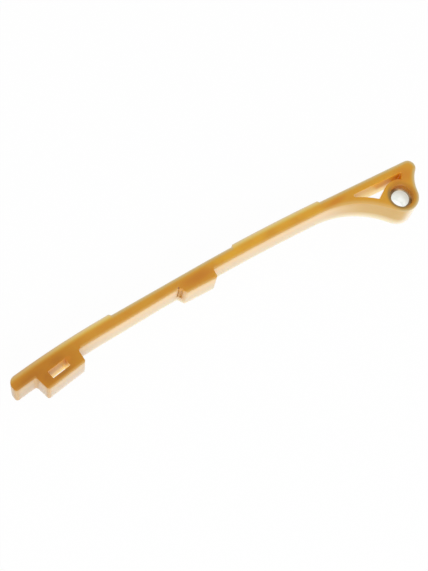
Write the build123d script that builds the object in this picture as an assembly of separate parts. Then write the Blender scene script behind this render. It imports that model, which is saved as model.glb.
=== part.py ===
from build123d import *
import os
from math import acos, asin, atan2, cos, hypot, radians, sin, sqrt, tan

# Chain guide for an engine's timing chain: a moulded nylon rail and a steel pivot sleeve.
# It lies on its flat side. The origin is the pivot bore's axis on the lower side face,
# +X runs from the tip to the pivot end, +Y towards the chain, +Z up through the width.
# Sizes are millimetres. A station is a distance from the bore's axis towards the tip.

# Rail
rail_width = 14.0
rail_thickness = 4.9
tip_thickness = 5.4
thicken_start = 120.0
underside_blend = 200.0
edge_round = 0.3
root_round = 0.6

# Running face: straight at the head, a long sweep, straight, then a tighter curl to the tip
run_height = 14.38
sweep_start = 36.0
sweep_radius = 985.0
sweep_end = 103.0
curl_start = 144.9
curl_radius = 432.0
tip_station = 196.6
tip_top_round = 3.6
tip_low_round = 1.3

# Lips that keep the chain central on the curved stretches
lip_height = 0.9
lip_width = 1.6
lip_ramp = 0.8
lip_round = 0.4
rear_lip_end = 82.8

# Foot at the tip, with a window for its retainer
foot_station = 175.2
foot_depth = 12.2
foot_angle = 11.5
foot_length = 19.7
foot_flare = 6.8
foot_round = 1.0
foot_root_round = 1.1
window_length = 9.0
window_height = 3.6
window_wall = 2.75
window_offset = -0.8
window_round = 0.35

# Pad at the middle of the span, with two flutes in its tip-side end
pad_station = 103.6
pad_depth = 3.6
pad_angle = 1.3
pad_tip_side = 7.75
pad_head_side = 7.85
pad_tip_flare = 32.6
pad_head_flare = 1.4
pad_round = 0.9
flute_radius = 0.5
flute_pitch = 1.4
flute_length = 9.3

# Pivot head
boss_radius = 8.1
flank_radius = 41.7
head_reach = 14.1
head_round = 3.5
end_radius = 17.0

# Opening in the head, between the top bar, the strut, the boss and the end wall
bar_thickness = 3.9
strut_thickness = 3.45
boss_web = 3.0
end_web = 6.0
gusset_angle = 35.0
opening_round = 0.75
gusset_round = 0.35

# Pivot bore and its steel sleeve, flush below and sunk above
sleeve_bore = 8.4
sleeve_wall = 1.2
sleeve_length = 11.0
sleeve_chamfer = 0.35
bore_chamfer = 0.4

sleeve_radius = sleeve_bore / 2 + sleeve_wall
underside = run_height - rail_thickness


def run_point(station, offset=0.0):
    # A point on the running face, or that far outside it (chain side positive)
    sweep = min(max(station - sweep_start, 0.0), sweep_end - sweep_start)
    beyond = max(station - sweep_end, 0.0)
    curl = max(station - curl_start, 0.0)
    swept = asin(sweep / sweep_radius)
    lean = swept
    drop = sweep_radius * (1 - cos(swept))
    if curl > 0:
        lean = asin(sin(swept) + curl / curl_radius)
        drop += (curl_start - sweep_end) * tan(swept) + curl_radius * (cos(swept) - cos(lean))
    else:
        drop += beyond * tan(swept)
    return (-station - offset * sin(lean), run_height - drop + offset * cos(lean))


def depth_at(station):
    # The rail thickens a little between the pad and the curl
    share = min(max((station - thicken_start) / (curl_start - thicken_start), 0.0), 1.0)
    return rail_thickness + (tip_thickness - rail_thickness) * share


def low_point(station):
    return run_point(station, -depth_at(station))


def run_arc(first, last, offset=0.0):
    return ThreePointArc(run_point(first, offset), run_point((first + last) / 2, offset),
                         run_point(last, offset))


def low_arc(first, last):
    return ThreePointArc(low_point(first), low_point((first + last) / 2), low_point(last))


def circle_meet(c1, r1, c2, r2):
    # Where two circles cross, on the right-hand side when looking from the first to the second
    dx, dy = c2[0] - c1[0], c2[1] - c1[1]
    gap = hypot(dx, dy)
    turn = acos((r1 ** 2 + gap ** 2 - r2 ** 2) / (2 * r1 * gap))
    heading = atan2(dy, dx) - turn
    return (c1[0] + r1 * cos(heading), c1[1] + r1 * sin(heading))


def towards(centre, target, distance):
    dx, dy = target[0] - centre[0], target[1] - centre[1]
    gap = hypot(dx, dy)
    return (centre[0] + dx * distance / gap, centre[1] + dy * distance / gap)


def nearest(shape, point):
    return shape.vertices().sort_by_distance(Vector(*point))[0]


# Centres of the head's tangent arcs
boss_centre = (0.0, 0.0)
corner_centre = (head_reach - head_round, run_height - head_round)
end_centre = circle_meet(boss_centre, boss_radius + end_radius, corner_centre, head_round + end_radius)
# The flank leaves the underside's straight if it reaches it, and its sweep if not
flank_y = underside - flank_radius
flank_centre = (-sqrt((boss_radius + flank_radius) ** 2 - flank_y ** 2), flank_y)
flank_top = (flank_centre[0], underside)
flank_on_sweep = flank_top[0] < -sweep_start
if flank_on_sweep:
    sweep_centre = (-sweep_start, run_height - sweep_radius)
    low_radius = sweep_radius - rail_thickness
    flank_centre = circle_meet(boss_centre, boss_radius + flank_radius, sweep_centre, low_radius - flank_radius)
    flank_top = towards(sweep_centre, flank_centre, low_radius)


def arc_between(centre, radius, start, end, middle_towards):
    return ThreePointArc(start, towards(centre, middle_towards, radius), end)


def underside_to_flank():
    if flank_on_sweep:
        return [ThreePointArc(low_point(sweep_end), low_point((sweep_end + sweep_start) / 2), flank_top)]
    return [low_arc(sweep_end, sweep_start), Line(low_point(sweep_start), flank_top)]


def body_outline():
    # The whole side view, lips included, head first and round the boss to the underside
    corner_top = (corner_centre[0], run_height)
    corner_end = towards(corner_centre, end_centre, head_round)
    boss_end = towards(boss_centre, end_centre, boss_radius)
    boss_flank = towards(boss_centre, flank_centre, boss_radius)
    boss_low = (boss_radius * sin(radians(10)), -boss_radius * cos(radians(10)))
    flank_mid = ((boss_flank[0] + flank_top[0]) / 2 + 2, (boss_flank[1] + flank_top[1]) / 2 + 2)
    end_mid = ((corner_end[0] + boss_end[0]) / 2, (corner_end[1] + boss_end[1]) / 2)
    tip_top = run_point(tip_station, lip_height)
    tip_low = low_point(tip_station)
    edges = [
        Line(corner_top, run_point(sweep_start)),
        Line(run_point(sweep_start), run_point(sweep_start + lip_ramp, lip_height)),
        run_arc(sweep_start + lip_ramp, rear_lip_end - lip_ramp, lip_height),
        Line(run_point(rear_lip_end - lip_ramp, lip_height), run_point(rear_lip_end)),
        run_arc(rear_lip_end, sweep_end),
        Line(run_point(sweep_end), run_point(curl_start)),
        Line(run_point(curl_start), run_point(curl_start + lip_ramp, lip_height)),
        run_arc(curl_start + lip_ramp, tip_station, lip_height),
        Line(tip_top, tip_low),
        low_arc(tip_station, curl_start),
        Line(low_point(curl_start), low_point(thicken_start)),
        Line(low_point(thicken_start), low_point(sweep_end)),
        *underside_to_flank(),
        arc_between(flank_centre, flank_radius, flank_top, boss_flank, flank_mid),
        arc_between(boss_centre, boss_radius, boss_flank, boss_end, boss_low),
        arc_between(end_centre, end_radius, boss_end, corner_end, end_mid),
        arc_between(corner_centre, head_round, corner_end, corner_top,
                    (corner_centre[0] + 1, corner_centre[1] + 1)),
    ]
    face = make_face(Wire(edges))
    for corner, radius in (
            (tip_top, tip_top_round), (tip_low, tip_low_round),
            (low_point(curl_start), underside_blend), (low_point(thicken_start), underside_blend),
            (run_point(sweep_start), lip_round), (run_point(sweep_start + lip_ramp, lip_height), lip_round),
            (run_point(rear_lip_end), lip_round), (run_point(rear_lip_end - lip_ramp, lip_height), lip_round),
            (run_point(curl_start), lip_round), (run_point(curl_start + lip_ramp, lip_height), lip_round)):
        face = fillet(nearest(face, corner), radius)
    return face


def foot_frame():
    # On the foot's outer edge, u along it towards the head and v into the rail
    x, y = run_point(foot_station, -foot_depth)
    return Pos(x, y) * Rot(0, 0, foot_angle)


def pad_frame():
    x, y = run_point(pad_station, -rail_thickness - pad_depth)
    return Pos(x, y) * Rot(0, 0, pad_angle)


def add_lug(body, frame, tip_side, head_side, tip_flare, head_flare, depth, corner_round, root):
    # A block that stands out of the underside by its depth and flares into the rail
    rise = depth + rail_thickness / 2
    tip_lean = tan(radians(tip_flare))
    head_lean = tan(radians(head_flare))
    body += frame * make_face(Polyline(
        (-tip_side, 0), (head_side, 0), (head_side + rise * head_lean, rise),
        (-tip_side - rise * tip_lean, rise), close=True))
    for u, v, radius in ((-tip_side, 0, corner_round), (head_side, 0, corner_round),
                         (-tip_side - depth * tip_lean, depth, root), (head_side + depth * head_lean, depth, root)):
        spot = (frame * Pos(u, v)).position
        body = fillet(nearest(body, (spot.X, spot.Y)), radius)
    return body


def add_foot(body):
    half = foot_length / 2
    return add_lug(body, foot_frame(), half, half, foot_flare, foot_flare, foot_depth - tip_thickness,
                   foot_round, foot_root_round)


def add_pad(body):
    return add_lug(body, pad_frame(), pad_tip_side, pad_head_side, pad_tip_flare, pad_head_flare,
                   pad_depth, pad_round, root_round)


def window():
    middle = window_wall + window_height / 2
    return foot_frame() * Pos(window_offset, middle) * RectangleRounded(window_length, window_height, window_round)


def head_opening():
    # Bounded by the bar, the end wall, the boss, a gusset line and the strut, each of its own thickness
    ceiling = run_height - bar_thickness
    wall_radius = end_radius + end_web
    web_radius = sleeve_radius + boss_web
    strut_radius = flank_radius + strut_thickness
    along = (cos(radians(gusset_angle)), sin(radians(gusset_angle)))
    touch = (-web_radius * along[1], web_radius * along[0])
    wide = (touch[0] - flank_centre[0], touch[1] - flank_centre[1])
    reach = wide[0] * along[0] + wide[1] * along[1]
    run = reach - sqrt(reach ** 2 - hypot(*wide) ** 2 + strut_radius ** 2)
    top_tip = (flank_centre[0] + sqrt(strut_radius ** 2 - (ceiling - flank_centre[1]) ** 2), ceiling)
    top_head = (end_centre[0] - sqrt(wall_radius ** 2 - (ceiling - end_centre[1]) ** 2), ceiling)
    over_boss = circle_meet(end_centre, wall_radius, boss_centre, web_radius)
    low_corner = (touch[0] - run * along[0], touch[1] - run * along[1])
    wall_mid = ((top_head[0] + over_boss[0]) / 2, (top_head[1] + over_boss[1]) / 2)
    boss_mid = ((touch[0] + over_boss[0]) / 2, (touch[1] + over_boss[1]) / 2)
    strut_mid = ((top_tip[0] + low_corner[0]) / 2, (top_tip[1] + low_corner[1]) / 2)
    outline = make_face(Wire([
        Line(top_tip, top_head),
        arc_between(end_centre, wall_radius, top_head, over_boss, wall_mid),
        arc_between(boss_centre, web_radius, over_boss, touch, boss_mid),
        Line(touch, low_corner),
        arc_between(flank_centre, strut_radius, low_corner, top_tip, strut_mid),
    ]))
    for corner, radius in ((top_tip, opening_round), (top_head, opening_round),
                           (over_boss, opening_round), (low_corner, gusset_round)):
        outline = fillet(nearest(outline, corner), radius)
    return outline


def channel(first, last):
    # The gap between the lips, down to the running face: an arc that a straight stretch leads into
    top = 4 * lip_height
    lead = first - lip_ramp
    outline = Wire([
        Line(run_point(lead), run_point(first)),
        run_arc(first, last),
        Line(run_point(last), run_point(last, top)),
        Line(run_point(last, top), run_point(lead, top)),
        Line(run_point(lead, top), run_point(lead)),
    ])
    return Pos(0, 0, lip_width) * extrude(make_face(outline), rail_width - 2 * lip_width)


def flutes():
    # Two grooves down the pad's sloping end, stopped short of the lower side face
    lean = radians(pad_tip_flare)
    cuts = []
    for index in range(2):
        climb = pad_depth - index * flute_pitch
        spot = pad_frame() * Pos(-pad_tip_side - climb * tan(lean), climb)
        cuts.append(Pos(spot.position.X, spot.position.Y, rail_width - flute_length)
                    * Cylinder(flute_radius, 2 * flute_length, align=(Align.CENTER, Align.CENTER, Align.MIN)))
    return cuts


def guide_rail():
    profile = add_pad(add_foot(body_outline())) - window() - head_opening()
    body = extrude(profile, rail_width)
    side_edges = body.edges().filter_by_position(Axis.Z, 0, 0) + \
        body.edges().filter_by_position(Axis.Z, rail_width, rail_width)
    body = fillet(side_edges, edge_round)
    body -= channel(sweep_start, rear_lip_end + lip_ramp)
    body -= channel(curl_start, tip_station + 2 * tip_top_round)
    for groove in flutes():
        body -= groove
    body -= Cylinder(sleeve_radius, 4 * rail_width)
    body -= Pos(0, 0, rail_width - bore_chamfer / 2) * Cone(
        sleeve_radius, sleeve_radius + bore_chamfer, bore_chamfer)
    return body


def pivot_sleeve():
    inner = sleeve_bore / 2
    section = make_face(Polyline(
        (inner, 0), (sleeve_radius, 0), (sleeve_radius, sleeve_length),
        (inner + sleeve_chamfer, sleeve_length), (inner, sleeve_length - sleeve_chamfer), close=True))
    return revolve(Plane.XZ * section, Axis.Z)


parts = {
    "guide_rail": guide_rail(),
    "pivot_sleeve": pivot_sleeve(),
}

os.makedirs("parts", exist_ok=True)
for name, shape in parts.items():
    export_step(shape, os.path.join("parts", name + ".step"))
    print(name, round(shape.volume, 1), shape.bounding_box())
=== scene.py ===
import bmesh
import bpy
from mathutils import Matrix, Vector

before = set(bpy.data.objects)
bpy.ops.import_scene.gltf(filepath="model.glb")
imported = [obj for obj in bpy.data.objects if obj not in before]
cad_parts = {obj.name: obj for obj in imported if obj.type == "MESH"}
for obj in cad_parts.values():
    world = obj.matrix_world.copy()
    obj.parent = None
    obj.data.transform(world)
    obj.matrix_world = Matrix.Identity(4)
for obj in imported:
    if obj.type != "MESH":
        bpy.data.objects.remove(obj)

scene = bpy.context.scene
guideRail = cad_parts["guide_rail"]
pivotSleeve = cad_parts["pivot_sleeve"]
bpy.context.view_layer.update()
print("frame loaded:", guideRail.name, pivotSleeve.name)


def paint(red, green, blue):
    # A colour given from 0 to 255, as the linear value that a shader takes
    def linear(value):
        value /= 255
        return value / 12.92 if value <= 0.04045 else ((value + 0.055) / 1.055) ** 2.4
    return (linear(red), linear(green), linear(blue), 1.0)


black = (0.0, 0.0, 0.0, 1.0)
white = (1.0, 1.0, 1.0, 1.0)


# Small helpers for node trees

class Field:
    # A node's output, so that masks and measures can be written as plain arithmetic
    def __init__(self, socket):
        self.socket = socket
        self.tree = socket.id_data

    def __add__(self, other):
        return combine("ADD", self, other)

    def __sub__(self, other):
        return combine("SUBTRACT", self, other)

    def __rsub__(self, other):
        return combine("SUBTRACT", other, self)

    def __mul__(self, other):
        return combine("MULTIPLY", self, other)

    def __truediv__(self, other):
        return combine("DIVIDE", self, other)

    def __abs__(self):
        return combine("ABSOLUTE", self)


def addNode(tree, kind, **settings):
    node = tree.nodes.new(kind)
    for key, value in settings.items():
        setattr(node, key, value)
    return node


def feed(socket, value):
    # A link where the value is another node's output, and a plain setting otherwise
    if isinstance(value, Field):
        value.tree.links.new(value.socket, socket)
    else:
        socket.default_value = value


def setInputs(node, values):
    for label, value in values.items():
        feed(node.inputs[label], value)


def combine(operation, first, second=None):
    tree = first.tree if isinstance(first, Field) else second.tree
    node = addNode(tree, "ShaderNodeMath", operation=operation)
    feed(node.inputs[0], first)
    if second is not None:
        feed(node.inputs[1], second)
    return Field(node.outputs[0])


def largest(first, *others):
    for other in others:
        first = combine("MAXIMUM", first, other)
    return first


def smallest(first, *others):
    for other in others:
        first = combine("MINIMUM", first, other)
    return first


def combineVectors(operation, first, second=None, result="Vector"):
    node = addNode(first.tree, "ShaderNodeVectorMath", operation=operation)
    feed(node.inputs[0], first)
    if second is not None:
        feed(node.inputs[1], second)
    return Field(node.outputs[result])


def splitAxes(vector):
    node = addNode(vector.tree, "ShaderNodeSeparateXYZ")
    feed(node.inputs[0], vector)
    return [Field(socket) for socket in node.outputs]


def ramp(value, low, high):
    # 0 at low, 1 at high and an even ease between them; low may be the larger
    node = addNode(value.tree, "ShaderNodeMapRange", interpolation_type="SMOOTHSTEP")
    setInputs(node, {"Value": value, "From Min": min(low, high), "From Max": max(low, high),
                     "To Min": float(low > high), "To Max": float(low < high)})
    return Field(node.outputs["Result"])


def blend(share, first, second):
    node = addNode(share.tree, "ShaderNodeMix", data_type="RGBA", blend_type="MIX")
    setInputs(node, {"Factor": share, "A": first, "B": second})
    return Field(node.outputs["Result"])


def gradient(value, stops):
    # Colours at places from 0 to 1 along a value
    node = addNode(value.tree, "ShaderNodeValToRGB")
    marks = node.color_ramp.elements
    marks[0].position, marks[0].color = stops[0]
    marks[1].position, marks[1].color = stops[-1]
    for position, colour in stops[1:-1]:
        marks.new(position).color = colour
    feed(node.inputs["Fac"], value)
    return Field(node.outputs["Color"])


def arrange(tree, columnWidth=220, rowHeight=200):
    # Columns by how many links a node is from the output, so that the tree opens tidy in the editor
    steps = {node.name: 0 for node in tree.nodes}
    moved = True
    while moved:
        moved = False
        for link in tree.links:
            needed = steps[link.to_node.name] + 1
            if steps[link.from_node.name] < needed:
                steps[link.from_node.name] = needed
                moved = True
    rows = {}
    for node in tree.nodes:
        column = steps[node.name]
        rows[column] = rows.get(column, 0) + 1
        node.location = (-column * columnWidth, -rows[column] * rowHeight)


def newMaterial(name):
    material = bpy.data.materials.new(name)
    material.use_nodes = True
    material.node_tree.nodes.clear()
    return material


def finishTree(tree, shader, kind="ShaderNodeOutputMaterial"):
    finish = addNode(tree, kind)
    tree.links.new(shader.outputs[0], finish.inputs["Surface"])
    arrange(tree)


def newGroup(name, inputs, outputs):
    group = bpy.data.node_groups.new(name, "ShaderNodeTree")
    for label, kind, value in inputs:
        socket = group.interface.new_socket(name=label, in_out="INPUT", socket_type=kind)
        socket.default_value = value
    for label, kind in outputs:
        group.interface.new_socket(name=label, in_out="OUTPUT", socket_type=kind)
    return group


def finishGroup(group, results):
    setInputs(addNode(group, "NodeGroupOutput"), results)
    arrange(group)


def useGroup(tree, group, values):
    node = addNode(tree, "ShaderNodeGroup", node_tree=group)
    setInputs(node, values)
    return node


def whiteRays(tree):
    # 1 for the rays that should meet plain white: the camera's own, mirrored ones and those through glass
    rays = addNode(tree, "ShaderNodeLightPath").outputs
    labels = ("Is Camera Ray", "Is Glossy Ray", "Is Transmission Ray")
    return largest(*[Field(rays[label]) for label in labels])


# Shared effect: a soft oval spot around a place on the part, turned about Z
def softSpotGroup():
    group = newGroup("softSpot",
                     [("Place", "NodeSocketVector", (0, 0, 0)), ("Centre", "NodeSocketVector", (0, 0, 0)),
                      ("Reach", "NodeSocketVector", (0.01, 0.01, 0.01)), ("Turn", "NodeSocketFloat", 0.0),
                      ("Core", "NodeSocketFloat", 0.5)],
                     [("Mask", "NodeSocketFloat")])
    start = addNode(group, "NodeGroupInput").outputs
    turn = addNode(group, "ShaderNodeVectorRotate", rotation_type="Z_AXIS", invert=True)
    away = combineVectors("SUBTRACT", Field(start["Place"]), Field(start["Centre"]))
    setInputs(turn, {"Vector": away, "Angle": Field(start["Turn"])})
    share = combineVectors("DIVIDE", Field(turn.outputs["Vector"]), Field(start["Reach"]))
    reached = combineVectors("LENGTH", share, result="Value")
    fade = addNode(group, "ShaderNodeMapRange", interpolation_type="SMOOTHSTEP")
    setInputs(fade, {"Value": reached, "From Min": Field(start["Core"]), "From Max": 1.0,
                     "To Min": 1.0, "To Max": 0.0})
    finishGroup(group, {"Mask": Field(fade.outputs["Result"])})
    return group


# Shared effect: slow clouds in the colour and a fine skin for roughness and bump
def surfaceGrainGroup():
    group = newGroup("surfaceGrain",
                     [("Place", "NodeSocketVector", (0, 0, 0)), ("Cloud Scale", "NodeSocketFloat", 60.0),
                      ("Skin Scale", "NodeSocketFloat", 2500.0)],
                     [("Clouds", "NodeSocketFloat"), ("Skin", "NodeSocketFloat")])
    start = addNode(group, "NodeGroupInput").outputs
    clouds = addNode(group, "ShaderNodeTexNoise")
    setInputs(clouds, {"Vector": Field(start["Place"]), "Scale": Field(start["Cloud Scale"]), "Detail": 3.0})
    skin = addNode(group, "ShaderNodeTexNoise")
    setInputs(skin, {"Vector": Field(start["Place"]), "Scale": Field(start["Skin Scale"]), "Detail": 4.0})
    finishGroup(group, {"Clouds": Field(clouds.outputs["Fac"]), "Skin": Field(skin.outputs["Fac"])})
    return group


softSpot = softSpotGroup()
surfaceGrain = surfaceGrainGroup()
print("shared effects built")

# Natural nylon: amber where one looks into its depth. The pale walls, the bright rims and the glow inside
# the openings are painted light that stands in for light coming through the nylon, and the darker marks at
# the bore, the corners, the flutes, the tip and the hollow ends are painted shade.
# A list of pairs is a gradient, and a pair of a colour and a number is a tint and how well it covers.
nylonLook = {
    # Side faces
    "amber": paint(223, 165, 45),
    "amberCloud": paint(212, 149, 42),
    "deepAmber": paint(211, 153, 46),  # the tip's half of the guide
    "deepCloud": paint(207, 143, 42),
    "deepCover": 0.85,
    "headAmber": (paint(213, 153, 42), 0.7),
    "footAmber": (paint(190, 122, 20), 0.95),
    "padAmber": (paint(197, 123, 30), 0.9),
    "orangeBlush": (paint(206, 128, 30), 0.75),
    "footDeep": (paint(174, 106, 20), 0.5),
    "windowShade": (paint(160, 112, 48), 0.6),

    # Painted light: bright rims of the side faces where light shines through the thin edge, along the
    # running face and along the lower outline
    "edgeLight": [(0.05, paint(219, 197, 156)), (0.23, paint(206, 178, 116)), (0.5, paint(211, 164, 72)),
                (0.75, paint(213, 156, 46))],
    "lipEdgeLight": [(0.1, paint(225, 204, 160)), (0.35, paint(224, 195, 114)), (0.65, paint(222, 183, 80)),
               (0.9, paint(219, 169, 58))],
    "footRim": (paint(188, 125, 50), 0.45),
    "rimWidth": 0.003,
    "lipRimShift": 0.15,  # share of the width by which a lip's rim is wider
    "rimFade": (0.9, 0.2),
    "lowEdgeLight": paint(224, 184, 112),
    "lowRimWidth": {"rail": 0.0013, "moreAtHead": 0.0012, "moreAtPad": 0.0012},
    "lowRimCover": {"rail": 0.6, "moreAtHead": 0.22, "lessAtTip": 0.35},

    # Side faces round the bore: painted shade of the sleeve and its recess, brown on the right and olive on
    # the left
    "boreShadowBrown": paint(172, 104, 22),
    "boreShadowCover": {"right": 0.53, "lessAtLeft": 0.18},
    "boreShade": (paint(132, 112, 66), 0.85),
    "leftward": (-0.966, -0.26),  # from the bore's axis to the photograph's lower left

    # Upright walls, from the table up to the upper face: painted light, palest near the white table, with
    # painted shade at the tip, in the corners and in the flutes
    "railWall": [(0.0, paint(249, 241, 216)), (0.2, paint(231, 213, 180)), (0.5, paint(234, 207, 170)),
                 (0.78, paint(242, 210, 162)), (0.93, paint(226, 188, 124)), (1.0, paint(206, 158, 82))],
    "headWall": [(0.0, paint(254, 248, 230)), (0.16, paint(240, 222, 184)), (0.4, paint(213, 177, 113)),
                 (1.0, paint(213, 174, 106))],
    "footWall": [(0.0, paint(242, 228, 206)), (0.2, paint(223, 203, 180)), (0.5, paint(220, 196, 166)),
                 (0.78, paint(229, 199, 158)), (0.93, paint(214, 178, 122)), (1.0, paint(196, 149, 82))],
    "tipWallShade": (paint(186, 164, 130), 0.25),
    "paleBoss": (paint(252, 242, 222), 0.9),
    "cornerShade": (paint(212, 168, 104), 0.7),
    "fluteShade": paint(176, 127, 55),
    "fluteAmber": paint(204, 148, 58),
    "fluteCover": 0.9,

    # Inside the opening, the window and the bore: painted light coming up through the walls, and painted
    # shade in the far ends and in the bore's recess
    "openingWall": [(0.0, paint(255, 250, 212)), (0.2, paint(243, 230, 190)), (0.43, paint(230, 210, 147)),
                    (0.72, paint(213, 182, 108)), (1.0, paint(204, 161, 87))],
    "openingAmber": paint(208, 156, 52),
    "amberLine": {"start": -0.005, "slope": 1.4, "fade": (0.0042, 0.0082)},
    "openingEndShade": paint(195, 113, 4),
    "openingEndShadeSpot": ((0.0055, 0.0095, 0.0095), (0.0045, 0.0044, 0.0062), 0.1),
    "windowWall": [(0.0, paint(255, 246, 186)), (0.35, paint(229, 203, 144)), (0.55, paint(205, 173, 110)),
                   (0.9, paint(199, 148, 76))],
    "windowEnd": [(0.44, paint(255, 232, 166)), (0.58, paint(224, 182, 104)), (0.67, paint(206, 152, 72)),
                  (0.83, paint(190, 120, 30)), (1.0, paint(184, 112, 15))],
    "windowEndSlope": 3.0,
    "windowEndHeight": 0.018,
    "boreShadeOrange": paint(162, 93, 10),
    "boreLitGold": paint(174, 110, 12),

    # Soft spots on the plan: centre, reach, the share of the reach that is full, and the turn
    "spots": {
        "foot": [((-0.1800, -0.0008), (0.0275, 0.0125), 0.3, 0.13)],
        "pad": [((-0.1035, 0.0076), (0.0130, 0.0037), 0.1, 0.06)],
        "blush": [((0.0062, 0.0085), (0.0085, 0.0055), 0.1), ((-0.1702, 0.0005), (0.0022, 0.0018), 0.2),
                  ((0.0034, 0.0078), (0.0062, 0.0032), 0.2), ((-0.029, 0.0112), (0.0075, 0.0024), 0.1, 0.1)],
        "footDeep": [((-0.1880, -0.0004), (0.0095, 0.0030), 0.2, 0.18),
                     ((-0.1745, 0.0022), (0.0050, 0.0022), 0.1, 0.18),
                     ((-0.1812, -0.0030), (0.0030, 0.0045), 0.1, 0.2)],
        "belowWindow": [((-0.17422, -0.00424), (0.0056, 0.00075), 0.3, 0.2007)],
        "padCorner": [((-0.1122, 0.0058), (0.0032, 0.0034), 0.3, 0.1)],
        "footCorners": [((-0.18295, -0.0073), (0.0016, 0.0019), 0.2),
                        ((-0.18545, -0.0013), (0.0018, 0.0018), 0.2),
                        ((-0.1951, -0.0019), (0.0022, 0.0025), 0.2)],
        "flutes": [((-0.1129, 0.0065), (0.0009, 0.0009), 0.7), ((-0.11215, 0.00537), (0.0009, 0.0009), 0.7)],
        "window": [((-0.17521, -0.00168), (0.0062, 0.0036), 0.9, 0.2007)],
        "windowEnd": [((-0.1708, -0.0008), (0.0016, 0.0028), 0.3, 0.2007)],
        "opening": [((-0.0115, 0.0078), (0.0115, 0.0056), 0.9), ((0.0005, 0.0094), (0.0075, 0.0032), 0.9)],
    },
    # Where one look gives way to another: the measure it goes by, where it starts and where it is full
    "bands": {
        "flatFacing": ("upright", 0.25, 0.95),
        "flatLevel": ("fromMiddle", 0.0058, 0.0064),
        "head": ("x", -0.04, -0.02),
        "tipHalf": ("x", -0.086, -0.108),
        "footRim": ("x", -0.15, -0.19),
        "lowEdgeLight": ("x", -0.0025, -0.006),
        "tipRim": ("x", -0.181, -0.187),
        "boreShadowBrown": ("radius", 0.0080, 0.0059),
        "boreShade": ("radius", 0.0072, 0.0059),
        "shadeSide": ("leftOfBore", -0.0005, 0.004),
        "boreShadowSide": ("leftOfBore", 0.0, 0.005),
        "belowCrest": ("y", 0.0125, 0.0095),
        "beforeBossEnd": ("x", 0.009, 0.001),
        "headWall": ("x", -0.04, -0.014),
        "footWall": ("x", -0.142, -0.170),
        "tipWallShade": ("x", -0.184, -0.188),
        "bossEnd": ("x", -0.0038, 0.0022),
        "bossSide": ("y", 0.004, -0.002),
        "padCorner": ("z", 0.0005, 0.0065),
        "fluteFoot": ("z", 0.0038, 0.0046),
        "fluteTop": ("z", 0.0110, 0.0124),
        "pastStrut": ("fromFlank", 0.0012, 0.0020),
        "openingEnd": ("x", 0.0005, 0.002),
        "bore": ("radius", 0.0062, 0.0059),
        "boreLitGold": ("x", 0.0022, 0.0048),
    },

    # Clouds, skin and gloss all over
    "cloudScale": 75.0,
    "cloudEdges": (0.36, 0.64),
    "skinScale": 1800.0,
    "skinStrength": 0.4,
    "skinHeight": 0.00002,
    "roughness": (0.30, 0.44),
    "subsurface": 0.15,
    "subsurfaceRadius": (1.0, 0.5, 0.2),
    "subsurfaceScale": 0.0005,
    "refraction": 1.5,
    "gloss": 0.3,
    # strength of the painted glow inside the openings and the flutes
    "glow": 0.27,
}

# The guide's own outline, in metres. The masks measure from it, so it changes only when the part does
guideOutline = {
    "width": 0.014,
    "runHeight": 0.01438,
    "sweepStart": 0.036,
    "sweepLength": 0.067,
    "sweepBend": 0.5076,  # one over twice the sweep's radius of 0.985
    "sweepSlope": 0.0682,
    "curlStart": 0.1449,
    "curlBend": 1.1574,  # the same for the curl's radius of 0.432
    "lipHeight": 0.0009,
    "rearLipStart": (0.036, 0.0368),
    "rearLipEnd": (0.0828, 0.082),
    "tipLipStart": (0.1449, 0.1457),
    "railThickness": 0.0049,
    "tipExtraThickness": 0.0005,
    "thickening": (0.12, 0.1449),
    "flankCentre": (-0.037973, -0.03222, 0),
    "flankRadius": 0.0417,
    "flankMeetsRail": (-0.0385, -0.0375),
    "padAcross": (-0.02269, 0.99974, 0),
    "padBottom": 0.005914,
    "padMiddle": -0.1038,
    "padHalfLength": (0.0093, 0.0078),
    "footAcross": (-0.19937, 0.97992, 0),
    "footBottom": 0.02873,
    "footMiddle": -0.1742,
    "footHalfLength": (0.0113, 0.0098),
    "windowBottom": 0.033285,
    "endCentre": (0.024793, -0.003912, 0),
    "endRadius": 0.017,
    "bossRadius": 0.0081,
    "bossSlants": (0.158, 0.85),  # beyond these two lines through the bore the boss has no outline
    "bossSpare": 1.5,
    "cornerCentre": (0.0106, 0.01088, 0),
    "cornerRadius": 0.0035,
}


def distance(plan, point):
    return combineVectors("DISTANCE", plan, point, "Value")


def lineHeight(plan, across, start):
    # Height above a straight edge, from the direction square to it
    return combineVectors("DOT_PRODUCT", plan, across, "Value") - start


def pickHeight(share, first, second):
    return first + (second - first) * share


def railGap(x, y, outline):
    # How far a point lies inside the running face with its lips, and above the underside
    station = x * -1.0
    swept = largest(station - outline["sweepStart"], 0.0)
    arc = smallest(swept, outline["sweepLength"])
    curl = largest(station - outline["curlStart"], 0.0)
    sweepDrop = arc * arc * outline["sweepBend"] + (swept - arc) * outline["sweepSlope"]
    drop = sweepDrop + curl * curl * outline["curlBend"]
    below = outline["runHeight"] - (y + drop)
    rearLip = ramp(station, *outline["rearLipStart"]) * ramp(station, *outline["rearLipEnd"])
    lips = rearLip + ramp(station, *outline["tipLipStart"])
    fromRun = below + lips * outline["lipHeight"]
    thicker = ramp(station, *outline["thickening"]) * outline["tipExtraThickness"]
    fromUnderside = thicker + outline["railThickness"] - below
    return fromRun, fromUnderside, lips


def lowGap(x, plan, fromUnderside, outline):
    # The same above the lower outline, where the flank, the pad and the foot leave the underside
    fromFlank = distance(plan, outline["flankCentre"]) - outline["flankRadius"]
    fromPad = lineHeight(plan, outline["padAcross"], outline["padBottom"])
    fromFoot = lineHeight(plan, outline["footAcross"], outline["footBottom"])
    onFlank = ramp(x, *outline["flankMeetsRail"])
    onPad = ramp(abs(x - outline["padMiddle"]), *outline["padHalfLength"])
    onFoot = ramp(abs(x - outline["footMiddle"]), *outline["footHalfLength"])
    gap = pickHeight(onFlank, fromUnderside, fromFlank)
    gap = pickHeight(onPad, gap, fromPad)
    gap = pickHeight(onFoot, gap, fromFoot)
    return gap, fromFlank


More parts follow.
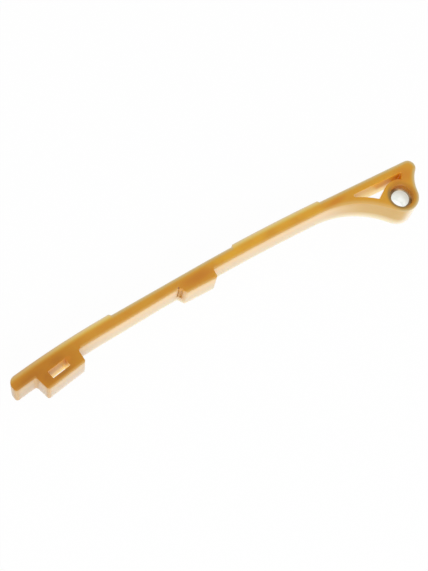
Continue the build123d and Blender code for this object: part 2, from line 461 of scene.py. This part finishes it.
def headGap(x, y, plan, radius, outline):
    # The same inside the head's hollow end, its rounded corner and the outer half of the boss
    fromEnd = distance(plan, outline["endCentre"]) - outline["endRadius"]
    lowSlant, highSlant = outline["bossSlants"]
    outside = largest(y + x * lowSlant, y - x * highSlant, 0.0)
    fromBoss = outline["bossRadius"] - radius + outside * outline["bossSpare"]
    pastCorner = combineVectors("SUBTRACT", plan, outline["cornerCentre"])
    pastCorner = combineVectors("MAXIMUM", pastCorner, (0, 0, 0))
    fromCorner = outline["cornerRadius"] - combineVectors("LENGTH", pastCorner, result="Value")
    tipward = largest(outline["cornerCentre"][0] - x, 0.0)
    return smallest(fromEnd, fromBoss, fromCorner + tipward)


def spot(place, centre, reach, core, turn=0.0):
    # An oval on the plan has two measures, and one in space has three
    values = {"Place": place, "Centre": (*centre, 0.0)[:3], "Reach": (*reach, 1.0)[:3], "Turn": turn,
              "Core": core}
    return Field(useGroup(place.tree, softSpot, values).outputs["Mask"])


class GuidePoint:
    # What every mask on the guide starts from: where the point lies, and how far inside the outline
    def __init__(self, tree, look, outline):
        self.look = look
        self.outline = outline
        coords = addNode(tree, "ShaderNodeTexCoord").outputs
        self.place = Field(coords["Object"])
        self.plan = combineVectors("MULTIPLY", self.place, (1, 1, 0))
        self.x, self.y, self.z = splitAxes(self.place)
        self.upright = abs(splitAxes(Field(coords["Normal"]))[2])
        self.level = self.z / outline["width"]
        self.fromMiddle = abs(self.z - outline["width"] / 2)
        self.radius = distance(self.plan, (0, 0, 0))
        self.leftOfBore = self.x * look["leftward"][0] + self.y * look["leftward"][1]
        self.fromRun, fromUnderside, self.lips = railGap(self.x, self.y, outline)
        self.fromHead = headGap(self.x, self.y, self.plan, self.radius, outline)
        self.fromLow, self.fromFlank = lowGap(self.x, self.plan, fromUnderside, outline)

    def band(self, name):
        measure, low, high = self.look["bands"][name]
        return ramp(getattr(self, measure), low, high)

    def spots(self, name):
        return largest(*[spot(self.plan, *values) for values in self.look["spots"][name]])

    def tint(self, colour, mask, name):
        added, cover = self.look[name]
        return blend(mask * cover, colour, added)


def faceColour(guide, clouds):
    # Side faces: amber, deeper where the part is broad, with a painted band of light along the outline and
    # painted shade round the bore
    look = guide.look
    head = guide.band("head")
    pad = guide.spots("pad")
    colour = blend(clouds, look["amber"], look["amberCloud"])
    deepColour = blend(clouds, look["deepAmber"], look["deepCloud"])
    colour = blend(guide.band("tipHalf") * look["deepCover"], colour, deepColour)
    colour = guide.tint(colour, head, "headAmber")
    colour = guide.tint(colour, guide.spots("foot"), "footAmber")
    colour = guide.tint(colour, pad, "padAmber")
    colour = guide.tint(colour, guide.spots("blush"), "orangeBlush")
    colour = guide.tint(colour, guide.spots("footDeep"), "footDeep")
    colour = guide.tint(colour, guide.spots("belowWindow"), "windowShade")

    # painted light: a bright band along the running face and the head's outline
    gap = smallest(guide.fromRun, guide.fromHead) / look["rimWidth"]
    edgeLightColour = blend(guide.lips, gradient(gap, look["edgeLight"]), gradient(gap, look["lipEdgeLight"]))
    edgeLightColour = guide.tint(edgeLightColour, guide.band("footRim"), "footRim")
    colour = blend(ramp(gap - guide.lips * look["lipRimShift"], *look["rimFade"]), colour, edgeLightColour)

    # painted light: a pale band along the lower outline
    width, cover = look["lowRimWidth"], look["lowRimCover"]
    lowWidth = head * width["moreAtHead"] + (pad * width["moreAtPad"] + width["rail"])
    lowCover = head * cover["moreAtHead"] + cover["rail"] - guide.band("tipRim") * cover["lessAtTip"]
    lowEdgeLight = ramp(guide.fromLow / lowWidth, 1.0, 0.0) * guide.band("lowEdgeLight") * lowCover
    colour = blend(lowEdgeLight, colour, look["lowEdgeLight"])

    # painted shade round the sleeve: brown on the right, olive on the left
    cover = look["boreShadowCover"]
    brown = guide.band("boreShadowBrown") * (cover["right"] - guide.band("boreShadowSide") * cover["lessAtLeft"])
    colour = blend(brown, colour, look["boreShadowBrown"])
    return guide.tint(colour, guide.band("boreShade") * guide.band("shadeSide"), "boreShade")


def wallColour(guide, flutes):
    # Upright walls: painted light, pale and whiter towards the table, tan at the head, with painted shade at
    # the tip and in the rounded corners
    look = guide.look
    headward = guide.band("belowCrest") * guide.band("beforeBossEnd") * guide.band("headWall")
    railColour = gradient(guide.level, look["railWall"])
    colour = blend(headward, railColour, gradient(guide.level, look["headWall"]))
    colour = blend(guide.band("footWall"), colour, gradient(guide.level, look["footWall"]))
    # painted shade: darker walls at the tip and tan in the rounded corners
    colour = guide.tint(colour, guide.band("tipWallShade"), "tipWallShade")
    colour = guide.tint(colour, guide.band("bossEnd") * guide.band("bossSide"), "paleBoss")
    corners = largest(guide.spots("padCorner") * guide.band("padCorner"), guide.spots("footCorners"))
    colour = guide.tint(colour, corners, "cornerShade")
    fluteColour = blend(guide.band("fluteTop"), look["fluteShade"], look["fluteAmber"])
    return blend(flutes, colour, fluteColour)


def openingColour(guide):
    # Painted light in the opening: its walls pale low down where the table lights them, and the upper wall
    # as amber as the face down to a line that drops towards the head
    look = guide.look
    line = look["amberLine"]
    height = guide.z - largest(line["start"] - guide.x, 0.0) * line["slope"]
    amberShare = largest(ramp(height, *line["fade"]), guide.band("openingEnd"))
    colour = blend(amberShare, gradient(guide.level, look["openingWall"]), look["openingAmber"])
    # painted shade in the opening's far end
    return blend(spot(guide.place, *look["openingEndShadeSpot"]), colour, look["openingEndShade"])


def windowColour(guide):
    # Painted light in the window: its walls bright low down, and its end wall bright along a line that
    # climbs towards its lower edge, with painted shade above that line
    look = guide.look
    across = lineHeight(guide.plan, guide.outline["footAcross"], guide.outline["windowBottom"])
    endLevel = (guide.z + across * look["windowEndSlope"]) / look["windowEndHeight"]
    return blend(guide.spots("windowEnd"), gradient(guide.level, look["windowWall"]),
                 gradient(endLevel, look["windowEnd"]))


def nylonMaterial(look, outline):
    material = newMaterial("amberNylon")
    tree = material.node_tree
    guide = GuidePoint(tree, look, outline)
    grain = useGroup(tree, surfaceGrain, {"Place": guide.place, "Cloud Scale": look["cloudScale"],
                                          "Skin Scale": look["skinScale"]}).outputs
    clouds = ramp(Field(grain["Clouds"]), *look["cloudEdges"])
    skin = Field(grain["Skin"])
    flatFace = guide.band("flatFacing") * guide.band("flatLevel")
    flutes = guide.spots("flutes") * guide.band("fluteFoot") * look["fluteCover"]

    # Inside the openings and the flutes a painted glow stands in for the light that comes through the walls
    # themselves
    opening = guide.band("pastStrut") * guide.spots("opening")
    bore = guide.band("bore")
    inside = largest(guide.spots("window"), opening, bore)
    insideColour = blend(opening, windowColour(guide), openingColour(guide))
    # painted shade on the bore's recess wall, with painted light on its lit side
    boreColour = blend(guide.band("boreLitGold"), look["boreShadeOrange"], look["boreLitGold"])
    insideColour = blend(bore, insideColour, boreColour)
    walls = blend(inside, wallColour(guide, flutes), insideColour)
    colour = blend(flatFace, walls, faceColour(guide, clouds))
    # painted glow on the walls inside the openings and the flutes
    glow = blend(largest(inside, flutes) * (1.0 - flatFace), black, walls)

    rough = addNode(tree, "ShaderNodeMapRange")
    setInputs(rough, {"Value": skin, "To Min": look["roughness"][0], "To Max": look["roughness"][1]})
    bump = addNode(tree, "ShaderNodeBump")
    setInputs(bump, {"Strength": look["skinStrength"], "Distance": look["skinHeight"], "Height": skin})
    shader = addNode(tree, "ShaderNodeBsdfPrincipled")
    setInputs(shader, {
        "Base Color": colour,
        "Roughness": Field(rough.outputs["Result"]),
        "IOR": look["refraction"],
        "Normal": Field(bump.outputs["Normal"]),
        "Subsurface Weight": look["subsurface"],
        "Subsurface Radius": look["subsurfaceRadius"],
        "Subsurface Scale": look["subsurfaceScale"],
        "Specular IOR Level": look["gloss"],
        "Emission Color": glow,
        "Emission Strength": look["glow"],
    })
    finishTree(tree, shader)
    return material


# Steel sleeve: bright turned bore with a painted glow and painted shade towards its top; the end face has
# painted shade with a painted reflection of the brown bore above it, and a painted highlight on its lit side
sleeveLook = {
    "bore": paint(244, 245, 240),
    "boreCloud": paint(228, 232, 226),
    "cloudScale": 380.0,
    "cloudEdges": (0.35, 0.65),
    "boreTopShade": paint(208, 203, 192),
    "boreTopShadeHeight": (0.002, 0.0105),
    "shadedEndFace": paint(142, 118, 80),
    "endFacing": (0.3, 0.8),
    "endHeight": (0.009, 0.010),
    "endFaceHighlight": paint(226, 206, 160),
    "litDirection": (0.86, 0.5),
    "litReach": (0.0018, 0.0038),
    "litFacing": (0.85, 0.95),
    "metal": 0.85,
    "roughness": 0.28,
    "skinScale": 3000.0,
    "skinStrength": 0.3,
    "skinHeight": 0.00001,
    # strength of the painted glow on the bore
    "glow": 0.15,
}


def sleeveMaterial(look):
    material = newMaterial("turnedSteel")
    tree = material.node_tree
    coords = addNode(tree, "ShaderNodeTexCoord").outputs
    place = Field(coords["Object"])
    x, y, z = splitAxes(place)
    facingUp = splitAxes(Field(coords["Normal"]))[2]
    grain = useGroup(tree, surfaceGrain, {"Place": place, "Cloud Scale": look["cloudScale"],
                                          "Skin Scale": look["skinScale"]}).outputs
    mottleAndShade = blend(ramp(Field(grain["Clouds"]), *look["cloudEdges"]), look["bore"], look["boreCloud"])
    # painted shade towards the top of the bore
    mottleAndShade = blend(ramp(z, *look["boreTopShadeHeight"]), mottleAndShade, look["boreTopShade"])
    shadedEndFace = ramp(abs(facingUp), *look["endFacing"])
    towardsLight = x * look["litDirection"][0] + y * look["litDirection"][1]
    litSide = ramp(towardsLight, *look["litReach"]) * ramp(facingUp, *look["litFacing"])
    # the end face: painted shade with a painted reflection of the brown bore, and a painted highlight on its
    # lit side
    endColour = blend(litSide, look["shadedEndFace"], look["endFaceHighlight"])
    bump = addNode(tree, "ShaderNodeBump")
    setInputs(bump, {"Strength": look["skinStrength"], "Distance": look["skinHeight"],
                     "Height": Field(grain["Skin"])})
    shader = addNode(tree, "ShaderNodeBsdfPrincipled")
    setInputs(shader, {
        "Base Color": blend(shadedEndFace * ramp(z, *look["endHeight"]), mottleAndShade, endColour),
        "Metallic": look["metal"],
        "Roughness": look["roughness"],
        "Normal": Field(bump.outputs["Normal"]),
        # painted glow on the bore
        "Emission Color": blend(1.0 - shadedEndFace, black, mottleAndShade),
        "Emission Strength": look["glow"],
    })
    finishTree(tree, shader)
    return material


def dress(piece, material):
    piece.data.materials.clear()
    piece.data.materials.append(material)
    piece.data.polygons.foreach_set("material_index", [0] * len(piece.data.polygons))


dress(guideRail, nylonMaterial(nylonLook, guideOutline))
dress(pivotSleeve, sleeveMaterial(sleeveLook))
print("materials assigned")

# Plain white table
table = {
    "size": 3.0,
    "centre": Vector((-0.09, 0.0, -0.0001)),
    "colour": (0.95, 0.95, 0.95, 1.0),
    "whiteShare": 0.96,  # the rest is the table's own shading, which keeps the shadow
}


def makeTable(values):
    mesh = bpy.data.meshes.new("whiteTable")
    shape = bmesh.new()
    bmesh.ops.create_grid(shape, x_segments=1, y_segments=1, size=values["size"] / 2)
    shape.transform(Matrix.Translation(values["centre"]))
    shape.to_mesh(mesh)
    shape.free()
    piece = bpy.data.objects.new("whiteTable", mesh)
    scene.collection.objects.link(piece)
    material = newMaterial("tableWhite")
    tree = material.node_tree
    matt = addNode(tree, "ShaderNodeBsdfDiffuse")
    setInputs(matt, {"Color": values["colour"]})
    glow = addNode(tree, "ShaderNodeEmission")
    setInputs(glow, {"Color": white, "Strength": 1.0})
    mixed = addNode(tree, "ShaderNodeMixShader")
    feed(mixed.inputs["Fac"], whiteRays(tree) * values["whiteShare"])
    tree.links.new(matt.outputs["BSDF"], mixed.inputs[1])
    tree.links.new(glow.outputs["Emission"], mixed.inputs[2])
    finishTree(tree, mixed)
    mesh.materials.append(material)


makeTable(table)

# Studio light: an even white room and one large soft lamp low in front
studio = {
    "roomLevel": 0.8,
    "lampPower": 3.5,
    "lampSize": 0.9,
    "lampPlace": Vector((-0.25, -0.9, 0.55)),
    "lampAim": Vector((-0.09, 0.0, 0.0)),
}


def makeStudio(values):
    world = bpy.data.worlds.new("whiteRoom")
    scene.world = world
    world.use_nodes = True
    tree = world.node_tree
    tree.nodes.clear()
    level = addNode(tree, "ShaderNodeMapRange")
    setInputs(level, {"Value": whiteRays(tree), "To Min": values["roomLevel"], "To Max": 1.0})
    background = addNode(tree, "ShaderNodeBackground")
    setInputs(background, {"Color": white, "Strength": Field(level.outputs["Result"])})
    finishTree(tree, background, "ShaderNodeOutputWorld")
    lamp = bpy.data.lights.new("frontSoftbox", "AREA")
    lamp.shape = "DISK"
    lamp.size = values["lampSize"]
    lamp.energy = values["lampPower"]
    lampObject = bpy.data.objects.new("frontSoftbox", lamp)
    lampObject.location = values["lampPlace"]
    aim = values["lampAim"] - values["lampPlace"]
    lampObject.rotation_euler = aim.to_track_quat("-Z", "Y").to_euler()
    scene.collection.objects.link(lampObject)


makeStudio(studio)
print("table and light ready")

# Camera at the photograph's place, found from the part's own parallel and round edges
view = {
    "place": Vector((-0.24731, -0.14414, 0.51017)),
    "right": Vector((0.86288, -0.49234, 0.11419)),
    "up": Vector((0.42339, 0.82755, 0.36866)),
    "lens": 78.03,
    "sensorHeight": 36.0,
    "nearest": 0.01,
    "farthest": 20.0,
}


def makeCamera(values):
    camera = bpy.data.cameras.new("photoCamera")
    camera.sensor_fit = "VERTICAL"
    camera.sensor_height = values["sensorHeight"]
    camera.lens = values["lens"]
    camera.clip_start = values["nearest"]
    camera.clip_end = values["farthest"]
    right = values["right"].normalized()
    back = right.cross(values["up"]).normalized()
    up = back.cross(right)
    turn = Matrix((right, up, back)).transposed().to_4x4()
    cameraObject = bpy.data.objects.new("photoCamera", camera)
    cameraObject.matrix_world = Matrix.Translation(values["place"]) @ turn
    scene.collection.objects.link(cameraObject)
    scene.camera = cameraObject


makeCamera(view)
scene.view_settings.view_transform = "Standard"
print("camera placed")

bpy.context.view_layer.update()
